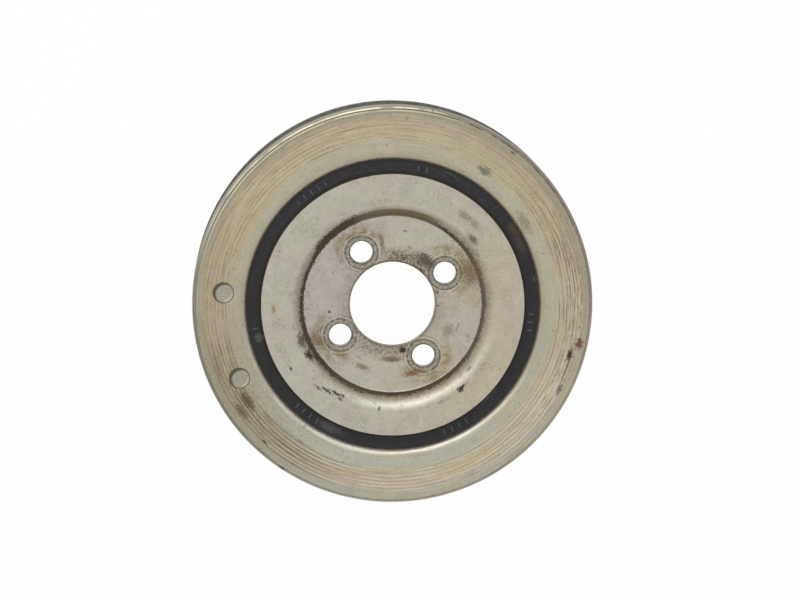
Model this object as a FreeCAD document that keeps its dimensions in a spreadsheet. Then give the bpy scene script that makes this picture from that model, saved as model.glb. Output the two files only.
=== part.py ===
import FreeCAD, Part
import math
import os
import Sketcher
from FreeCAD import Vector

# Crankshaft pulley with a rubber torsional damper.
# Three bonded pieces share the crank axis: a dished steel hub that bolts to the crank nose,
# a rubber ring round the hub, and a steel ring with poly-V belt grooves round the rubber.
# The axis is +Z, the front of the pulley faces up, and the origin is on the axis in the plane
# of the belt ring's rear face. Lengths are millimetres and angles are degrees.

# Driving sizes, each set once and held in the sheet under the same name. The diameters grow outwards
# from the crank bore, one wall after another, so each piece fits round the one inside it.
SIZES = {
    # Crank bore and bolt holes; the bolt circle lies one inset out from the bore's wall
    "bore_dia": 32.0,
    "bore_chamfer": 0.4,
    "bolt_count": 4,
    "bolt_inset": 6.8,
    "bolt_first_angle": 30.8,
    "bolt_hole_dia": 8.5,
    "bolt_hole_chamfer": 0.5,
    # Dished centre of the hub; its rim lies one margin out from the bolt circle
    "dish_rim_margin": 17.7,
    "dish_depth": 3.3,
    "dish_bend_radius": 5.1,
    "dish_wall_angle": 38.0,
    # Hub
    "hub_face_width": 8.9,
    "hub_flange_wall": 4.4,
    "hub_plate": 4.8,
    "hub_rear_setback": 1.0,
    "hub_inside_chamfer": 1.6,
    # Rubber ring
    "rubber_wall": 5.6,
    "rubber_recess": 2.3,
    # Belt ring
    "ring_wall": 20.15,
    "ring_bore_chamfer": 1.5,
    "ring_lip_chamfer": 1.1,
    "ring_rear_chamfer": 0.4,
    # Poly-V belt track
    "belt_groove_count": 5,
    "belt_groove_pitch": 3.56,
    "belt_groove_angle": 40.0,
    "belt_groove_depth": 2.9,
    "belt_rib_land": 0.7,
    "belt_lip_rise": 1.35,
    "belt_rear_lip_rise": 0.8,
    "belt_rear_margin": 3.9,
    "belt_front_margin": 8.36,
    # Balance drillings in the face of the belt ring
    "balance_count": 2,
    "balance_inset": 8.7,
    "balance_first_angle": 175.6,
    "balance_spacing": 29.9,
    "balance_drill_dia": 7.7,
    "balance_drill_depth": 0.8,
    "balance_point_angle": 160.0,
}

# Radii and heights that several features share, as expressions on the sheet.
BORE_RADIUS = "(Sizes.bore_dia / 2)"
BOLT_RADIUS = f"({BORE_RADIUS} + Sizes.bolt_inset)"
RIM_RADIUS = f"({BOLT_RADIUS} + Sizes.dish_rim_margin)"
HUB_RADIUS = f"({RIM_RADIUS} + Sizes.hub_face_width)"
RING_BORE = f"({HUB_RADIUS} + Sizes.rubber_wall)"
RING_RADIUS = f"({RING_BORE} + Sizes.ring_wall)"
GROOVE_RUN = "((Sizes.belt_groove_count - 1) * Sizes.belt_groove_pitch)"
FRONT = f"(Sizes.belt_rear_margin + {GROOVE_RUN} + Sizes.belt_front_margin)"
DISH_FLOOR = f"({FRONT} - Sizes.dish_depth)"

# How near an edge must lie to the place that names it
TOUCH = 1e-4


def make_sheet(doc):
    """Put every driving size in a sheet, one row each, under its own alias."""
    sheet = doc.addObject("Spreadsheet::Sheet", "Sizes")
    for row, (alias, value) in enumerate(SIZES.items(), start=1):
        sheet.set(f"A{row}", alias)
        sheet.set(f"B{row}", str(value))
        sheet.setAlias(f"B{row}", alias)
    doc.recompute()
    return sheet


def number(expression):
    """The present value of an expression on the sheet."""
    return float(FreeCAD.ActiveDocument.Sizes.evalExpression(expression))


def new_body(doc, label):
    body = doc.addObject("PartDesign::Body", label)
    body.Label = label
    return body


def origin_feature(body, role):
    """One of the body's own planes or axes, found by its role."""
    return next(item for item in body.Origin.OriginFeatures if item.Role == role)


def new_sketch(body, name, role, height=None, turn=None):
    """A sketch on one of the body's planes, lifted and turned by expressions where they are given."""
    sketch = body.newObject("Sketcher::SketchObject", name)
    sketch.AttachmentSupport = [(origin_feature(body, role), "")]
    sketch.MapMode = "FlatFace"
    if height:
        sketch.setExpression("AttachmentOffset.Base.z", height)
    if turn:
        sketch.setExpression("AttachmentOffset.Rotation.Angle", turn)
    return sketch


def bind(sketch, constraint, name, expression):
    """Add one constraint and tie its value to an expression."""
    index = sketch.addConstraint(constraint)
    sketch.renameConstraint(index, name)
    sketch.setExpression(f"Constraints.{name}", expression)


def place_point(sketch, geometry, end, name, x, y):
    """Tie one end of a piece of geometry to a radius and a height."""
    bind(sketch, Sketcher.Constraint("DistanceX", geometry, end, number(x)), f"{name}_x", x)
    if y == "0":
        sketch.addConstraint(Sketcher.Constraint("PointOnObject", geometry, end, -1))
    else:
        bind(sketch, Sketcher.Constraint("DistanceY", geometry, end, number(y)), f"{name}_y", y)


def arc_between(start, end, radius, side):
    """An arc from start to end; side is 1 where its centre lies to the left of the way there."""
    chord = end.sub(start)
    middle = start.add(end).multiply(0.5)
    left = Vector(-chord.y, chord.x, 0).normalize()
    offset = math.sqrt(radius**2 - (chord.Length / 2) ** 2)
    centre = middle.add(left.multiply(side * offset))
    first = math.atan2(start.y - centre.y, start.x - centre.x)
    last = math.atan2(end.y - centre.y, end.x - centre.x)
    circle = Part.Circle(centre, Vector(0, 0, 1), radius)
    return Part.ArcOfCircle(circle, first, last) if side > 0 else Part.ArcOfCircle(circle, last, first)


def draw_outline(sketch, tag, corners):
    """Draw a closed outline. Each corner is (x, y) for a straight edge that ends there, or
    (x, y, radius, side) for an arc that ends there, with expressions for the sizes."""
    points = [Vector(number(corner[0]), number(corner[1]), 0) for corner in corners]
    edges = []
    for index, corner in enumerate(corners):
        start = points[index - 1]
        end = points[index]
        if len(corner) == 2:
            edges.append((sketch.addGeometry(Part.LineSegment(start, end), False), 1, 2))
        else:
            radius, side = corner[2:]
            arc = sketch.addGeometry(arc_between(start, end, number(radius), side), False)
            bind(sketch, Sketcher.Constraint("Radius", arc, number(radius)), f"{tag}_{index}_r", radius)
            edges.append((arc, 1, 2) if side > 0 else (arc, 2, 1))
    for index, (edge, start_end, far_end) in enumerate(edges):
        previous, _, previous_far = edges[index - 1]
        sketch.addConstraint(Sketcher.Constraint("Coincident", previous, previous_far, edge, start_end))
        place_point(sketch, edge, far_end, f"{tag}_{index}", corners[index][0], corners[index][1])


def spin(body, kind, name, sketch):
    """Turn a half section round the crank axis, to add it or to cut it away."""
    feature = body.newObject(kind, name)
    feature.Profile = sketch
    feature.ReferenceAxis = (sketch, ["V_Axis"])
    feature.Angle = 360.0
    sketch.Visibility = False
    body.Document.recompute()
    return feature


def copies_round_axis(body, name, feature, count, angle):
    """Repeat a feature round the crank axis."""
    pattern = body.newObject("PartDesign::PolarPattern", name)
    pattern.Originals = [feature]
    pattern.Axis = (origin_feature(body, "Z_Axis"), [""])
    pattern.setExpression("Angle", angle)
    pattern.setExpression("Occurrences", count)
    body.Tip = pattern
    body.Document.recompute()


def round_edges(shape, rings):
    """Names of the circular edges at the given (radius, height) pairs, each an expression."""
    wanted = [(number(radius), number(height)) for radius, height in rings]
    names = []
    for index, edge in enumerate(shape.Edges, start=1):
        if edge.Curve.TypeId != "Part::GeomCircle":
            continue
        for radius, height in wanted:
            level = abs(edge.Curve.Center.z - height) < TOUCH
            if level and abs(edge.Curve.Radius - radius) < TOUCH:
                names.append(f"Edge{index}")
    return names


def chamfer_edges(body, name, rings, size):
    """Chamfer the circular edges at the given places."""
    base = body.Tip
    chamfer = body.newObject("PartDesign::Chamfer", name)
    chamfer.Base = (base, round_edges(base.Shape, rings))
    chamfer.setExpression("Size", size)
    body.Document.recompute()


def drill(body, name, radius, height, turn, settings):
    """Drill one round hole down from a height, at a radius from the axis."""
    sketch = new_sketch(body, f"{name}_centre", "XY_Plane", height, turn)
    mark = sketch.addGeometry(Part.Circle(Vector(number(radius), 0, 0), Vector(0, 0, 1), 1.0), False)
    bind(sketch, Sketcher.Constraint("Radius", mark, 1.0), "hole_r", f"{settings['Diameter']} / 2")
    bind(sketch, Sketcher.Constraint("DistanceX", mark, 3, number(radius)), "circle_r", radius)
    sketch.addConstraint(Sketcher.Constraint("PointOnObject", mark, 3, -1))
    body.Document.recompute()
    hole = body.newObject("PartDesign::Hole", name)
    hole.Profile = sketch
    hole.ThreadType = 0
    hole.Threaded = False
    for setting, value in settings.items():
        if str(value).startswith("Sizes."):
            hole.setExpression(setting, value)
        else:
            setattr(hole, setting, value)
    body.Document.recompute()
    return hole


def make_pulley_ring(doc):
    """The steel belt ring: a belt track between two lips, V grooves and balance drillings."""
    body = new_body(doc, "pulley_ring")
    flank = "tan(Sizes.belt_groove_angle / 2)"
    tip_radius = f"({RING_RADIUS} - Sizes.belt_lip_rise)"
    rear_radius = f"({tip_radius} + Sizes.belt_rear_lip_rise)"
    half_top = "((Sizes.belt_groove_pitch - Sizes.belt_rib_land) / 2)"
    half_rear_lip = f"({half_top} + Sizes.belt_rear_lip_rise * {flank})"
    half_lip = f"({half_top} + Sizes.belt_lip_rise * {flank})"
    first = "Sizes.belt_rear_margin"
    last = f"{first} + {GROOVE_RUN}"

    section = new_sketch(body, "ring_section", "XZ_Plane")
    draw_outline(section, "ring", [
        (RING_BORE, "0"),
        (rear_radius, "0"),
        (rear_radius, f"{first} - {half_rear_lip}"),
        (tip_radius, f"{first} - {half_top}"),
        (tip_radius, f"{last} + {half_top}"),
        (RING_RADIUS, f"{last} + {half_lip}"),
        (RING_RADIUS, FRONT),
        (RING_BORE, FRONT),
    ])
    body.Tip = spin(body, "PartDesign::Revolution", "ring_blank", section)

    cut_belt_grooves(body, tip_radius, half_top, flank)
    chamfer_edges(body, "bore_lead", [(RING_BORE, FRONT)], "Sizes.ring_bore_chamfer")
    chamfer_edges(body, "lip_break", [(RING_RADIUS, FRONT)], "Sizes.ring_lip_chamfer")
    chamfer_edges(body, "rear_break", [(rear_radius, "0")], "Sizes.ring_rear_chamfer")

    balance_radius = f"{RING_BORE} + Sizes.balance_inset"
    drilling = drill(body, "balance_drilling", balance_radius, FRONT, "Sizes.balance_first_angle", {
        "Diameter": "Sizes.balance_drill_dia",
        "DepthType": "Dimension",
        "Depth": "Sizes.balance_drill_depth",
        "DrillPoint": "Angled",
        "DrillPointAngle": "Sizes.balance_point_angle",
    })
    copies_round_axis(body, "balance_drillings", drilling, "Sizes.balance_count",
                      "(Sizes.balance_count - 1) * Sizes.balance_spacing")
    return body


def cut_belt_grooves(body, tip_radius, half_top, flank):
    """Turn the first V groove of the belt track and copy it along the axis."""
    root_radius = f"({tip_radius} - Sizes.belt_groove_depth)"
    half_root = f"({half_top} - Sizes.belt_groove_depth * {flank})"
    clear_radius = f"({tip_radius} + Sizes.belt_rear_lip_rise / 2)"
    first = "Sizes.belt_rear_margin"

    groove = new_sketch(body, "groove_section", "XZ_Plane")
    draw_outline(groove, "groove", [
        (root_radius, f"{first} + {half_root}"),
        (root_radius, f"{first} - {half_root}"),
        (tip_radius, f"{first} - {half_top}"),
        (clear_radius, f"{first} - {half_top}"),
        (clear_radius, f"{first} + {half_top}"),
        (tip_radius, f"{first} + {half_top}"),
    ])
    first_groove = spin(body, "PartDesign::Groove", "first_belt_groove", groove)
    pattern = body.newObject("PartDesign::LinearPattern", "belt_grooves")
    pattern.Originals = [first_groove]
    pattern.Direction = (origin_feature(body, "Z_Axis"), [""])
    pattern.setExpression("Length", GROOVE_RUN)
    pattern.setExpression("Occurrences", "Sizes.belt_groove_count")
    body.Tip = pattern
    body.Document.recompute()


def make_rubber_ring(doc):
    """The rubber ring fills the gap between hub and belt ring; both its ends lie below the steel."""
    body = new_body(doc, "rubber_ring")
    section = new_sketch(body, "rubber_section", "XZ_Plane")
    top = f"{FRONT} - Sizes.rubber_recess"
    draw_outline(section, "rubber", [
        (HUB_RADIUS, "Sizes.rubber_recess"),
        (RING_BORE, "Sizes.rubber_recess"),
        (RING_BORE, top),
        (HUB_RADIUS, top),
    ])
    body.Tip = spin(body, "PartDesign::Revolution", "rubber_blank", section)
    return body


def make_hub(doc):
    """The hub: a pressed plate of one thickness, dished at the centre, with a flange behind its edge."""
    body = new_body(doc, "hub")
    wall = "Sizes.dish_wall_angle"
    bend_x = f"({RIM_RADIUS} - Sizes.dish_bend_radius * sin({wall}))"
    bend_y = f"({FRONT} - Sizes.dish_bend_radius * (1 - cos({wall})))"
    floor_radius = f"({bend_x} - ({bend_y} - {DISH_FLOOR}) / tan({wall}))"

    plate_back = f"({DISH_FLOOR} - Sizes.hub_plate)"
    web_back = f"({FRONT} - Sizes.hub_plate)"
    flange_inside = f"({HUB_RADIUS} - Sizes.hub_flange_wall)"
    boss_radius = f"({floor_radius} + Sizes.hub_plate * tan({wall} / 2))"
    web_radius = f"({boss_radius} + Sizes.dish_depth / tan({wall}))"

    section = new_sketch(body, "hub_section", "XZ_Plane")
    draw_outline(section, "hub", [
        (BORE_RADIUS, plate_back),
        (boss_radius, plate_back),
        (web_radius, web_back),
        (flange_inside, web_back),
        (flange_inside, "Sizes.hub_rear_setback"),
        (HUB_RADIUS, "Sizes.hub_rear_setback"),
        (HUB_RADIUS, FRONT),
        (RIM_RADIUS, FRONT),
        (bend_x, bend_y, "Sizes.dish_bend_radius", 1),
        (floor_radius, DISH_FLOOR),
        (BORE_RADIUS, DISH_FLOOR),
    ])
    body.Tip = spin(body, "PartDesign::Revolution", "hub_blank", section)

    bore_ends = [(BORE_RADIUS, DISH_FLOOR), (BORE_RADIUS, plate_back)]
    chamfer_edges(body, "inside_corner", [(flange_inside, web_back)], "Sizes.hub_inside_chamfer")
    chamfer_edges(body, "bore_chamfers", bore_ends, "Sizes.bore_chamfer")

    hole = drill(body, "bolt_hole", BOLT_RADIUS, DISH_FLOOR, "Sizes.bolt_first_angle", {
        "Diameter": "Sizes.bolt_hole_dia",
        "DepthType": "ThroughAll",
        "HoleCutType": "Countersink",
        "HoleCutCustomValues": True,
        "HoleCutDiameter": "Sizes.bolt_hole_dia + 2 * Sizes.bolt_hole_chamfer",
        "HoleCutCountersinkAngle": 90.0,
    })
    copies_round_axis(body, "bolt_holes", hole, "Sizes.bolt_count", "360")
    return body


def check(doc):
    """Stop if any object failed, or if a piece is missing, broken or not one solid."""
    for item in doc.Objects:
        if {"Invalid", "Error"} & set(item.State):
            raise RuntimeError(f"{item.Label} did not build")
    for item in doc.Objects:
        if item.TypeId == "PartDesign::Body":
            shape = item.Shape
            if shape.isNull() or not shape.isValid() or len(shape.Solids) != 1:
                raise RuntimeError(f"{item.Label} is not one sound solid")


def main():
    doc = FreeCAD.newDocument("crankshaft_pulley")
    make_sheet(doc)
    bodies = [make_hub(doc), make_rubber_ring(doc), make_pulley_ring(doc)]
    doc.recompute()
    check(doc)
    os.makedirs("parts", exist_ok=True)
    for body in bodies:
        body.Shape.exportStep(os.path.join("parts", f"{body.Label}.step"))
        print(body.Label, round(body.Shape.Volume, 1), "cubic mm")


main()
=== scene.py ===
"""Looks of a crankshaft pulley: a dished steel hub, a rubber damper ring and a steel belt ring.

The pulley lies on its back, so the crank axis is +Z and the front face looks up. Sizes of the
object are in millimetres, and they turn into metres where a mesh is made.
"""
import logging
import math
from dataclasses import dataclass
from enum import Enum
from typing import Any, Iterable, Sequence

import bmesh
import bpy
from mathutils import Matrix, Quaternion, Vector


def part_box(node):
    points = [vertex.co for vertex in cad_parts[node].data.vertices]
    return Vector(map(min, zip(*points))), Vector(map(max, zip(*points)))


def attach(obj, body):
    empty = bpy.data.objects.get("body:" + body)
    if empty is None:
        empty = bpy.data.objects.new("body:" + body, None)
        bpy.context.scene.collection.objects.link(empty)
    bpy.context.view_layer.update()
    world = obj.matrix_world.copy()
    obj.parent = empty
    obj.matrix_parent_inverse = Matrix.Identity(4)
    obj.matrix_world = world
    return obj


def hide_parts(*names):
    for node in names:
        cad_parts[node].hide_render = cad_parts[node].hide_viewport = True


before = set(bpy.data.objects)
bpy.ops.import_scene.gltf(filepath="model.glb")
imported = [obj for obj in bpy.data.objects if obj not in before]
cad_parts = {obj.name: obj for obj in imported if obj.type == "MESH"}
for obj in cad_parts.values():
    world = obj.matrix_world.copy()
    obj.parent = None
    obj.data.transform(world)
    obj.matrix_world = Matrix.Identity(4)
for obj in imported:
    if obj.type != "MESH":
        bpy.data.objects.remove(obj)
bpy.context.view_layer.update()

LOG = logging.getLogger("crankshaft_pulley")
BODY = "root"
MM = 0.001
MICRON = 0.001 * MM
WHITE = (1.0, 1.0, 1.0)

# In millimetres: more than any distance on the pulley, and how far a cutter's seat and its end stand
# past the face that it cuts.
FAR = 1000.0
CUT_PAST = 0.01
CUT_CLEAR = 1.0

# Sizes in millimetres and degrees that both a piece and its finish need.
LINE_PITCH = 1.38
DRILL_RADIUS = 63.7
DRILL_ANGLES = (175.6, 205.5)
DRILL_DIA = 7.7
BORE_RADIUS = 16.0
BOLT_RADIUS = 22.8
BOLT_ANGLE = 30.8

Colour = tuple[float, float, float]
Point = tuple[float, float]
Pair = tuple[float, float]


def colour(red: int, green: int, blue: int) -> Colour:
    """Turns an 8-bit display colour into the linear colour that shaders take.

    Args:
        red: Red, 0 to 255.
        green: Green, 0 to 255.
        blue: Blue, 0 to 255.

    Returns:
        The linear red, green and blue.
    """
    def linear(value: int) -> float:
        """One channel from display value to light."""
        share = value / 255
        return share / 12.92 if share <= 0.04045 else ((share + 0.055) / 1.055) ** 2.4

    return linear(red), linear(green), linear(blue)


def empty_tree(owner: bpy.types.Material | bpy.types.World) -> bpy.types.NodeTree:
    """Gives a material or a world an empty node tree.

    Args:
        owner: The material or world.

    Returns:
        Its tree.
    """
    owner.use_nodes = True
    owner.node_tree.nodes.clear()
    return owner.node_tree


def place(name: str, data: Any) -> bpy.types.Object:
    """Makes an object at the origin, unturned, and links it to the scene.

    Args:
        name: The object's name.
        data: Its mesh, lamp or camera.

    Returns:
        The object.
    """
    made = bpy.data.objects.new(name, data)
    bpy.context.scene.collection.objects.link(made)
    return made


def solid(name: str, shape: bmesh.types.BMesh) -> bpy.types.Object:
    """Turns a drawn shape into an object.

    Args:
        name: The object's name.
        shape: The shape, which is freed.

    Returns:
        The object.
    """
    mesh = bpy.data.meshes.new(name)
    shape.to_mesh(mesh)
    shape.free()
    return place(name, mesh)


class Signal:
    """An output socket that takes part in arithmetic; each operation adds one Math node."""

    def __init__(self, bench: "NodeBench", socket: bpy.types.NodeSocket) -> None:
        """Wraps a socket.

        Args:
            bench: The bench that adds nodes to the socket's tree.
            socket: The output socket.
        """
        self.bench = bench
        self.socket = socket

    def __add__(self, other: Any) -> "Signal":
        """Sum."""
        return self.bench.math("ADD", self, other)

    def __radd__(self, other: Any) -> "Signal":
        """Sum, reflected."""
        return self.bench.math("ADD", other, self)

    def __sub__(self, other: Any) -> "Signal":
        """Difference."""
        return self.bench.math("SUBTRACT", self, other)

    def __rsub__(self, other: Any) -> "Signal":
        """Difference, reflected."""
        return self.bench.math("SUBTRACT", other, self)

    def __mul__(self, other: Any) -> "Signal":
        """Product."""
        return self.bench.math("MULTIPLY", self, other)

    def __truediv__(self, other: Any) -> "Signal":
        """Quotient."""
        return self.bench.math("DIVIDE", self, other)


class NodeBench:
    """Adds nodes to one node tree, for shaders and for geometry alike."""

    def __init__(self, tree: bpy.types.NodeTree) -> None:
        """Takes the tree to work on.

        Args:
            tree: A shader or geometry node tree.
        """
        self.tree = tree

    def node(self, kind: str, settings: dict[str, Any] | None = None,
             sockets: dict[Any, Any] | None = None) -> bpy.types.Node:
        """Adds any node.

        Args:
            kind: The node's type.
            settings: Properties of the node, set first.
            sockets: Values or links of its inputs, by name or index.

        Returns:
            The node.
        """
        made = self.tree.nodes.new(kind)
        for name, value in (settings or {}).items():
            setattr(made, name, value)
        for key, value in (sockets or {}).items():
            for item in value if isinstance(value, list) else [value]:
                self.plug(item, made.inputs[key])
        return made

    def plug(self, value: Any, target: bpy.types.NodeSocket) -> None:
        """Links an output to an input, or sets the input's value.

        Args:
            value: A signal, a socket or a plain value.
            target: The input socket.
        """
        if isinstance(value, Signal):
            value = value.socket
        if isinstance(value, bpy.types.NodeSocket):
            self.tree.links.new(value, target)
        elif target.type == "RGBA" and len(value) == 3:
            target.default_value = (*value, 1.0)
        else:
            target.default_value = value

    def signal(self, node: bpy.types.Node, output: Any = 0) -> Signal:
        """Wraps one output of a node."""
        return Signal(self, node.outputs[output])

    def math(self, operation: str, *values: Any, clamp: bool = False) -> Signal:
        """Adds a Math node.

        Args:
            operation: What the node does.
            values: Its inputs in order.
            clamp: Keep the result between 0 and 1.

        Returns:
            The result.
        """
        settings = {"operation": operation, "use_clamp": clamp}
        return self.signal(self.node("ShaderNodeMath", settings, dict(enumerate(values))))

    def vector(self, x: Any, y: Any, z: Any) -> Signal:
        """Joins three values into a vector."""
        return self.signal(self.node("ShaderNodeCombineXYZ", sockets={0: x, 1: y, 2: z}))

    def smooth(self, value: Any, low: Any, high: Any) -> Signal:
        """Rises softly from 0 to 1 as a value goes from low to high; falls where low is the larger."""
        return self.signal(self.node("ShaderNodeMapRange", {"interpolation_type": "SMOOTHSTEP"}, {
            "Value": value, "From Min": low, "From Max": high, "To Min": 0.0, "To Max": 1.0}))

    def band(self, value: Any, centre: float, half_width: float, soft: float) -> Signal:
        """A band that is 1 within its half width of a centre and fades over a soft edge."""
        away = self.math("ABSOLUTE", value - centre)
        return self.smooth(away, half_width + soft, max(half_width - soft, 0.0))

    def surface(self, inputs: dict[str, Any]) -> None:
        """Ends a material in a Principled shader with the given inputs."""
        shader = self.node("ShaderNodeBsdfPrincipled", sockets=inputs)
        self.node("ShaderNodeOutputMaterial", sockets={"Surface": shader.outputs[0]})


class PolarBench(NodeBench):
    """A shader tree with ready signals for a turned part: radius, height and direction from its axis."""

    def __init__(self, tree: bpy.types.NodeTree) -> None:
        """Adds the coordinate nodes.

        Args:
            tree: The material's node tree.
        """
        super().__init__(tree)
        self.place = self.node("ShaderNodeTexCoord").outputs["Object"]
        point = self.node("ShaderNodeVectorMath", {"operation": "SCALE"}, {0: self.place, "Scale": 1 / MM})
        parts = self.node("ShaderNodeSeparateXYZ", sockets={0: point.outputs[0]})
        self.x = self.signal(parts, 0)
        self.y = self.signal(parts, 1)
        self.z = self.signal(parts, 2)
        self.radius = self.math("SQRT", self.x * self.x + self.y * self.y)
        self.cosine = self.x / self.radius
        self.sine = self.y / self.radius

    def noise(self, scale: float, detail: float = 3.0, roughness: float = 0.5,
              coordinates: Any = None) -> Signal:
        """Noise about 0.5.

        Args:
            scale: Features per unit of the coordinates.
            detail: Octaves.
            roughness: Strength of the finer octaves.
            coordinates: A vector; the place in millimetres where none is given.

        Returns:
            The noise's value.
        """
        if coordinates is None:
            coordinates = self.place
            scale = scale / MM
        return self.signal(self.node("ShaderNodeTexNoise", {"noise_dimensions": "3D"}, {
            "Vector": coordinates, "Scale": scale, "Detail": detail, "Roughness": roughness}))

    def streaks(self, radial: float, round_axis: float, shift: float, detail: float = 3.0,
                roughness: float = 0.6) -> Signal:
        """Noise in streaks that run round the axis without a seam, on faces and on walls.

        Args:
            radial: Scale along the radius, per millimetre.
            round_axis: Scale round the axis, per turn's radian.
            shift: Moves the pattern, so that each use differs.
            detail: Octaves.
            roughness: Strength of the finer octaves.

        Returns:
            The noise's value, about 0.5.
        """
        across = (self.radius + self.z * 0.7) * radial + shift
        coordinates = self.vector(across, self.cosine * round_axis, self.sine * round_axis)
        return self.noise(1.0, detail, roughness, coordinates)

    def radial(self, low: float, high: float) -> Signal:
        """Rises softly from 0 at one radius to 1 at another."""
        return self.smooth(self.radius, low, high)

    def ring(self, centre: float, half_width: float, soft: float) -> Signal:
        """A ring that is 1 within its half width of a radius and fades over a soft edge."""
        return self.band(self.radius, centre, half_width, soft)

    def sector(self, angle: float, half: float, soft: float) -> Signal:
        """A sector round a direction.

        Args:
            angle: The sector's middle, in degrees.
            half: Half its width, in degrees.
            soft: Width of its faded edge, in degrees.

        Returns:
            1 inside, 0 outside.
        """
        turn = math.radians(angle)
        facing = self.cosine * math.cos(turn) + self.sine * math.sin(turn)
        outer = math.cos(math.radians(min(half + soft, 179.0)))
        inner = math.cos(math.radians(max(half - soft, 1.0)))
        return self.smooth(facing, outer, inner)

    def patch(self, angle: float, radius: float, half: Pair, ragged: Signal, soft: float) -> Signal:
        """An oval patch whose axes lie along the radius and across it.

        Args:
            angle: Its direction from the axis, in degrees.
            radius: Its distance from the axis.
            half: Half sizes along the radius and across it.
            ragged: Noise about 0 that frays its edge.
            soft: Share of its size over which it fades.

        Returns:
            1 at its heart, 0 outside.
        """
        turn = math.radians(angle)
        long, wide = half
        along = self.x * (math.cos(turn) / long) + self.y * (math.sin(turn) / long) - radius / long
        across = self.y * (math.cos(turn) / wide) - self.x * (math.sin(turn) / wide)
        away = self.math("SQRT", along * along + across * across)
        return self.smooth(away + ragged, 1.05 + soft * 0.7, 1.05 - soft * 0.7)

    def tool_marks(self, first: float, pitch: float, broken: Signal, level: float) -> Signal:
        """Rings at the pitch of a turning tool, broken into arcs.

        Args:
            first: Radius of one of the rings, in millimetres.
            pitch: Distance from one ring to the next, in millimetres.
            broken: Noise about 0.5 that says where they show.
            level: Noise level above which they show.

        Returns:
            1 on a mark, 0 beside it.
        """
        wave = self.math("COSINE", (self.radius - first) * (2 * math.pi / pitch))
        return self.smooth(wave, 0.3, 0.95) * self.smooth(broken, level, level + 0.12)

    def away_from(self, x: float, y: float) -> Signal:
        """Distance from a line that runs along the axis, in millimetres.

        Args:
            x: Where the line stands.
            y: Where the line stands.

        Returns:
            The distance.
        """
        along = self.x - x
        across = self.y - y
        return self.math("SQRT", along * along + across * across)

    def specks(self, scale: float, size: float, share: float, ragged: Signal) -> Signal:
        """Scattered specks of varied size.

        Args:
            scale: Cells per millimetre; a cell holds one speck at most.
            size: Radius of the largest speck, as a share of a cell.
            share: Share of the cells that hold one.
            ragged: Noise about 0 that frays their edges.

        Returns:
            1 in a speck, 0 outside.
        """
        cells = self.node("ShaderNodeTexVoronoi", {"voronoi_dimensions": "3D"}, {
            "Vector": self.place, "Scale": scale / MM})
        draw = self.signal(self.node("ShaderNodeSeparateColor", sockets={0: cells.outputs["Color"]}))
        away = self.signal(cells, "Distance") + ragged * size * 0.5
        return self.smooth(draw, share, share * 0.9) * self.smooth(away, size, size * 0.6)

    def scratches(self, angle: float, scale: float, level: float) -> Signal:
        """Fine straight scratches that run in one direction.

        Args:
            angle: Their direction, in degrees.
            scale: Scratches per millimetre across it.
            level: Noise level above which one shows; higher is fewer.

        Returns:
            1 on a scratch, 0 beside it.
        """
        turn = math.radians(angle)
        along = self.x * math.cos(turn) + self.y * math.sin(turn)
        across = self.y * math.cos(turn) - self.x * math.sin(turn)
        lines = self.noise(1.0, 2.0, 0.6, self.vector(along * 0.1, across * scale, self.z * 0.3 + angle))
        return self.smooth(lines, level, level + 0.05)

    def mix(self, factor: Any, below: Any, above: Any) -> Signal:
        """Lays one colour over another by a factor."""
        made = self.node("ShaderNodeMix", {"data_type": "RGBA", "clamp_factor": True}, {
            0: factor, 6: below, 7: above})
        return self.signal(made, 2)

    def grey(self, value: Any) -> Signal:
        """Turns a value from 0 to 2 into a grey of that brightness."""
        return self.mix(value * 0.5, (0.0, 0.0, 0.0), (2.0, 2.0, 2.0))

    def shade(self, base: Any, grey: Any) -> Signal:
        """Multiplies two colours."""
        made = self.node("ShaderNodeMix", {"data_type": "RGBA", "blend_type": "MULTIPLY"}, {
            0: 1.0, 6: base, 7: grey})
        return self.signal(made, 2)

    def bump(self, height: Any) -> bpy.types.NodeSocket:
        """Turns a height in thousandths of a millimetre into a normal."""
        made = self.node("ShaderNodeBump", sockets={
            "Strength": 1.0, "Distance": MICRON, "Height": height})
        return made.outputs["Normal"]


@dataclass(frozen=True)
class Stain:
    """One mark on a surface: where it is, its half sizes along and across the radius, and its look."""

    angle: float
    radius: float
    half: Pair
    tint: Colour
    strength: float = 0.8
    soft: float = 0.55


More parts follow.
